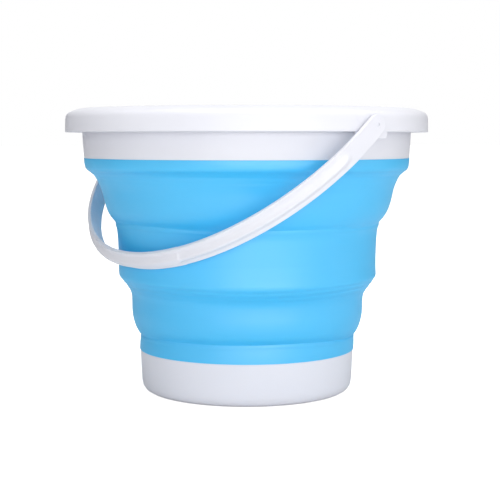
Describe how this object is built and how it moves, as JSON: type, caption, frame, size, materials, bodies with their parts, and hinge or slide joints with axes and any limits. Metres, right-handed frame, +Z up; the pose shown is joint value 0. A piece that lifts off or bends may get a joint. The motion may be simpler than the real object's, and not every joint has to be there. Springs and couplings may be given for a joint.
{
  "type": "collapsible camp bucket",
  "caption": "Round folding bucket with a rigid rim ring, a soft stepped wall that turns inside out and nests flat, a rigid base cup and a swinging bail handle.",
  "frame": {"origin": "on the bucket's axis, at the level of the surface that the foot ring stands on", "axes": "+Z up along the bucket's axis; X along the handle's pivot axis; the handle hangs towards -Y"},
  "size_m": [0.3314, 0.32, 0.2502],
  "materials": {
    "white_plastic": "satin moulded polypropylene",
    "blue_rubber": "soft matte thermoplastic rubber"
  },
  "bodies": {
    "base": {"base_cup": "white_plastic", "wall_lower_collar": "blue_rubber", "wall_lower_fold": "blue_rubber"},
    "middle": {"wall_middle_ring": "blue_rubber", "wall_upper_fold": "blue_rubber"},
    "rim": {"rim_ring": "white_plastic", "wall_upper_collar": "blue_rubber"},
    "handle": {"handle": "white_plastic"}
  },
  "joints": [
    {"name": "lower_fold_collapse", "type": "slide", "parent": "base", "child": "middle", "axis": [0, 0, -1], "range_m": [0, 0.0975], "deforming": ["wall_lower_fold"]},
    {"name": "upper_fold_collapse", "type": "slide", "parent": "middle", "child": "rim", "axis": [0, 0, -1], "range_m": [0, 0.0975], "deforming": ["wall_upper_fold"]},
    {"name": "handle_swing", "type": "hinge", "parent": "rim", "child": "handle", "pos_m": [0, 0, 0.235], "axis": [-1, 0, 0], "range_deg": [0, 264.3]}
  ]
}
